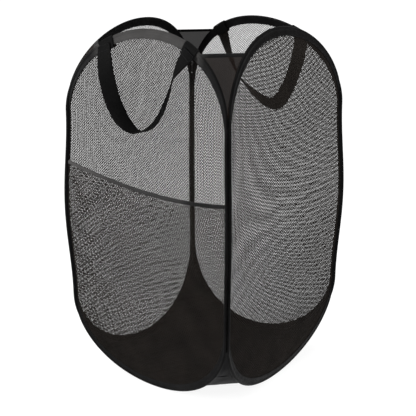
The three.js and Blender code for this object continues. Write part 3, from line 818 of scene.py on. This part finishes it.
for index, corner in enumerate(corner_names):
    first, second = wall_list[index], wall_list[(index + 1) % 4]
    z = np.linspace(seam_foot - seam_run_on, seam_head + seam_run_on, 92)
    turn = np.linspace(0, math.pi / 2, 7)
    edge, far_edge = (
        wall["half"] - bend_depth + bend_to_corner - seam_gap for wall in (first, second))
    corner_x = np.concatenate([
        np.linspace(edge - seam_leg, edge - seam_round, 5)[:-1],
        edge - seam_round + seam_round * np.sin(turn), np.full(4, edge)])
    corner_n = np.concatenate([
        np.full(4, 0.0), -seam_round + seam_round * np.cos(turn),
        -np.linspace(seam_round, seam_leg, 5)[1:]]) - seam_gap
    way_x = np.concatenate([np.zeros(4), np.sin(turn), np.ones(4)])
    way_n = np.concatenate([np.ones(4), np.cos(turn), np.zeros(4)])
    wavy = seam_sway * ripple(z, seam_wave, 80 + index)[:, None]
    width = run_of(np.stack([corner_x, corner_n], 1))
    for nested, (ending, _, sides) in zip((0, seam_inner), halves_of(index)):
        skins = [on_plane(
            first, corner_x[None] - way_x[None] * (inside + nested),
            corner_n[None] - way_n[None] * (inside + nested) + wavy * way_n[None], z[:, None])
            for inside in (0, seam_thick)]
        tape = sewn(f"{corner}_seam_tape{ending}", *skins, grosgrain, z[:, None], width[None])
        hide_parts(f"{corner}_seam")
        if len(sides) == 1:
            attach(tape, f"{sides[0]}_frame")
            continue
        bend_between(tape, sides, [
            on_plane(first, edge - seam_leg, -seam_gap, hinge_height),
            on_plane(second, seam_leg - far_edge, -seam_gap, hinge_height)])

# Floor cloth: black cloth sewn along the four lower arcs, flat on the ground in the middle and drawn
# up into the cut corners. It is cut in four here, from the middle to each wall, and each part is
# attached to its own wall's frame.
floor_high, floor_rise, floor_chord, floor_dip, floor_thick = 0.0577, 0.004, 0.9, 0.002, 0.0008
floor_inside, floor_crease, floor_clear, floor_keep = 0.0026, 0.0007, 0.0001, 0.04


def floor_edge(wall, share):
    """The floor's edge along a wall, from one of its ends, -1, to the other, 1."""
    arc = edge_at(wall, np.array(floor_high - floor_rise))
    x = arc * np.minimum(1, np.abs(share) / floor_chord) * np.sign(share)
    z = floor_rise + seam_foot * (1 - arc_share(x / wall["half"]))
    return on_wall(wall, x, -floor_inside, z)


def floor_border(index, share):
    """The same, but cut across to the neighbouring edges at its ends."""
    wall = wall_list[index]
    beyond = np.clip((np.abs(share) - floor_chord) / (1 - floor_chord), 0, 1)[..., None] / 2
    after = floor_edge(wall_list[(index + 1) % 4], share * 0 - 1)
    before = floor_edge(wall_list[(index + 3) % 4], share * 0 + 1)
    beside = np.where(share[..., None] > 0, after, before)
    return floor_edge(wall, share) * (1 - beyond) + beside * beyond


def floor_point(s, t):
    """The floor between its four borders, -1 to 1 both ways."""
    one = np.ones_like(s)
    front_line, back_line = floor_border(0, s), floor_border(2, -s)
    right_line, left_line = floor_border(1, t), floor_border(3, -t)
    point = front_line * ((1 - t) / 2)[..., None] + back_line * ((1 + t) / 2)[..., None]
    point = point + left_line * ((1 - s) / 2)[..., None] + right_line * ((1 + s) / 2)[..., None]
    for a in (-1, 1):
        for b in (-1, 1):
            corner = floor_border(0, a * one) if b < 0 else floor_border(2, -a * one)
            point = point - corner * ((1 + a * s) * (1 + b * t) / 4)[..., None]
    f, r = front_line[..., 2] / floor_high, right_line[..., 2] / floor_high
    z = np.maximum(0, floor_high * f * r - floor_dip * (1 - f) * (1 - r))
    crease = floor_crease * ripple(point[..., 0] * 1.1 + point[..., 1] * 0.3, 0.05, 90) \
        * ripple(point[..., 1] + point[..., 0] * 0.25, 0.07, 91)
    point[..., 2] = np.maximum(floor_clear, z + np.clip(z / 0.01, 0, 1) * crease)
    return point


for index, side in enumerate(walls):
    r, a = np.meshgrid(np.linspace(0, 1, 40), np.linspace(-1, 1, 57), indexing="ij")
    s, t = [(a * r, -r), (r, a * r), (-a * r, r), (-r, -a * r)][index]
    under = floor_point(s, t)
    over = under + np.array([0, 0, floor_thick])
    cloth = sewn(f"floor_cloth_{side}", over, under, oxford, under[..., 0], under[..., 1])
    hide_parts("base_panel")
    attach(cloth, f"{side}_frame")
    wall = walls[side]
    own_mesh(cloth)

# Handles: black webbing that hangs from two loops, flat to the wall at its ends and turned edge-on
# on its way down, one in a U and one in a creased V. Each end is folded over the rim and sewn down
# on both sides.
strap_width, strap_thick, loop_length, loop_thick = 0.025, 0.0016, 0.018, 0.0012
loop_out, loop_clear, loop_from_cloth, loop_turn_depth = 0.0028 + loop_thick, 0.0003, 0.0044, 0.002
strap_stitch_row, strap_stitch_length, stitched_part, stitch_places = 0.0024, 0.0021, 0.93, (-0.4, 0.4)
strap_steps, strap_rounds, loop_steps, cord_pitch, pick_pitch = 141, 26, 15, 0.00125, 0.0011
handle_hangs = {  # millimetres along the wall and up it, and degrees of turn
    "front": [
        (-84.8, 571.1, 0), (-79, 556, 10), (-69.7, 531.4, 30), (-54.4, 495.9, 38), (-41, 475.7, 50),
        (-23, 456.5, 70), (0.5, 443.5, 95), (26.6, 453, 90), (47.9, 475.1, 77), (61.5, 507.9, 66),
        (67.5, 540.1, 50), (77.5, 561, 14), (84.8, 571.1, 0)],
    "back": [
        (-84.8, 571.1, 0), (-80.5, 549.6, 2), (-71, 521, 3), (-57.7, 487.3, 4), (-40.7, 455, 8),
        (-29, 442, 14), (-11.9, 437, 24), (16.1, 449.4, 34), (40.2, 463.5, 48), (59.1, 478.5, 56),
        (70.8, 501.2, 45), (79.5, 530, 25), (84.8, 571.1, 0)],
}

webbing, web_tree, web_shader = finish_named(
    "black_webbing", (0.006, 0.006, 0.007), 0.5, specular=0.03)
along, across = cloth_lengths(web_tree)
cords = thread_rounds(web_tree, across, cord_pitch)
picks = thread_rounds(web_tree, reckon(web_tree, "MULTIPLY_ADD", cords, 0.0004, along), pick_pitch)
web_height = reckon(web_tree, "MULTIPLY_ADD", picks, 0.6, cords)
web_light = times(web_tree, web_height, 0.6, uneven(web_tree, 26.0, 0.35, 1.0))
wire_up_finish(
    web_tree, web_shader,
    two_tone(web_tree, web_light, (0.0012, 0.0012, 0.0013), (0.005, 0.0049, 0.0048)),
    uneven(web_tree, 40.0, 0.45, 0.65), web_height, strength=0.5, depth=0.0003)


def top_of(wall, x):
    """The hoop's outer edge above a place along the wall, and the way out of the hoop there."""
    across = np.abs(x) / wall["half"]
    up = arc_share(across)
    out = np.stack([
        across ** (arc_power - 1) / wall["half"] * np.sign(x), up ** (arc_power - 1) / top_rise])
    return seam_head + up * top_rise, out / np.linalg.norm(out, axis=0)


edge_round = [(1.0, 0.0), (0.985, 0.55), (0.95, 0.86), (0.9, 1.0)]
strap_section = edge_round + [(a, 1.0) for a in (0.6, 0.3, 0, -0.3, -0.6)] \
    + [(-a, b) for a, b in edge_round[::-1]]
for side, hangs in handle_hangs.items():
    wall = walls[side]
    half = float(edge_at(wall, np.array(gusset_top))) - loop_from_cloth - strap_width / 2
    share = np.linspace(-1, 1, strap_steps)
    keys = np.array(hangs) / (1000, 1000, math.degrees(1))
    far = run_of(keys[:, :2])
    path = np.stack([np.interp((share + 1) / 2 * far[-1], far, column) for column in keys.T])
    for _ in range(strap_rounds):
        path[:, 1:-1] = (path[:, :-2] + 2 * path[:, 1:-1] + path[:, 2:]) / 4
    x, z, twist = path
    slope = np.arctan2(np.gradient(z), np.gradient(x))
    n = loop_out + loop_clear + (strap_thick + np.sin(twist) * strap_width) / 2
    wide = np.stack([-np.sin(slope) * np.cos(twist), -np.sin(twist), np.cos(slope) * np.cos(twist)])
    thick = np.stack([-np.sin(slope) * np.sin(twist), np.cos(twist), np.cos(slope) * np.sin(twist)])
    middle = np.stack([x, n, z])
    a, b = np.array(strap_section).T
    skins = [on_wall(wall, *(
        middle[..., None] + wide[..., None] * a * strap_width / 2
        + thick[..., None] * out * b * strap_thick / 2)) for out in (1, -1)]
    length = run_of(np.stack([x, z], 1))
    strap = sewn(
        f"{side}_handle_webbing", *skins, webbing, length[:, None], (a * strap_width / 2)[None])
    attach(strap, f"{side}_handle")
    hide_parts(f"{side}_handle_strap")
    rows = []
    for sign in (-1, 1):
        pick = share * sign > stitched_part
        face = (middle.T + thick.T * (strap_thick / 2 + 0.0001))[pick]
        box = [face + wide.T[pick] * place * strap_width for place in stitch_places]
        rows += [(on_wall(wall, *line.T), wall_facing(wall)) for line in box]
        for row in (0, -1) if sign > 0 else (-1, 0):
            ends = np.array([line[row] for line in box])
            rows.append((on_wall(wall, *ends.T), wall_facing(wall)))
    sewing = stitches(f"{side}_handle_stitches", rows, strap_stitch_row, strap_stitch_length)
    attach(sewing, f"{side}_handle")

    for sign, hand in ((-1, "left"), (1, "right")):
        xs = sign * (half + strap_width * np.linspace(-0.5, 0.5, loop_steps))
        zs, (out_x, out_z) = top_of(wall, xs)
        turn = np.linspace(0, math.pi, 9)
        shapes = []
        for radius, grow in ((loop_out, 1), (loop_out - loop_thick, 0)):
            lift = loop_clear + loop_thick * grow
            leg = np.linspace(loop_length, loop_turn_depth, 6)
            depth = np.concatenate([
                leg, loop_turn_depth - (loop_turn_depth + lift) * np.sin(turn), leg[::-1]])
            n = np.concatenate([np.full(6, radius), radius * np.cos(turn), np.full(6, -radius)])
            shapes.append((depth, n))
        skins = [on_wall(
            wall, xs[:, None] - depth * out_x[:, None], np.broadcast_to(n, (loop_steps, len(n))),
            zs[:, None] - depth * out_z[:, None]) for depth, n in shapes]
        loop = sewn(
            f"{side}_handle_end_{hand}", *skins, webbing, run_of(skins[0][7])[None],
            np.linspace(0, strap_width, loop_steps)[:, None])
        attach(loop, f"{side}_frame")
        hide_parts(f"{side}_handle_loop_{hand}")
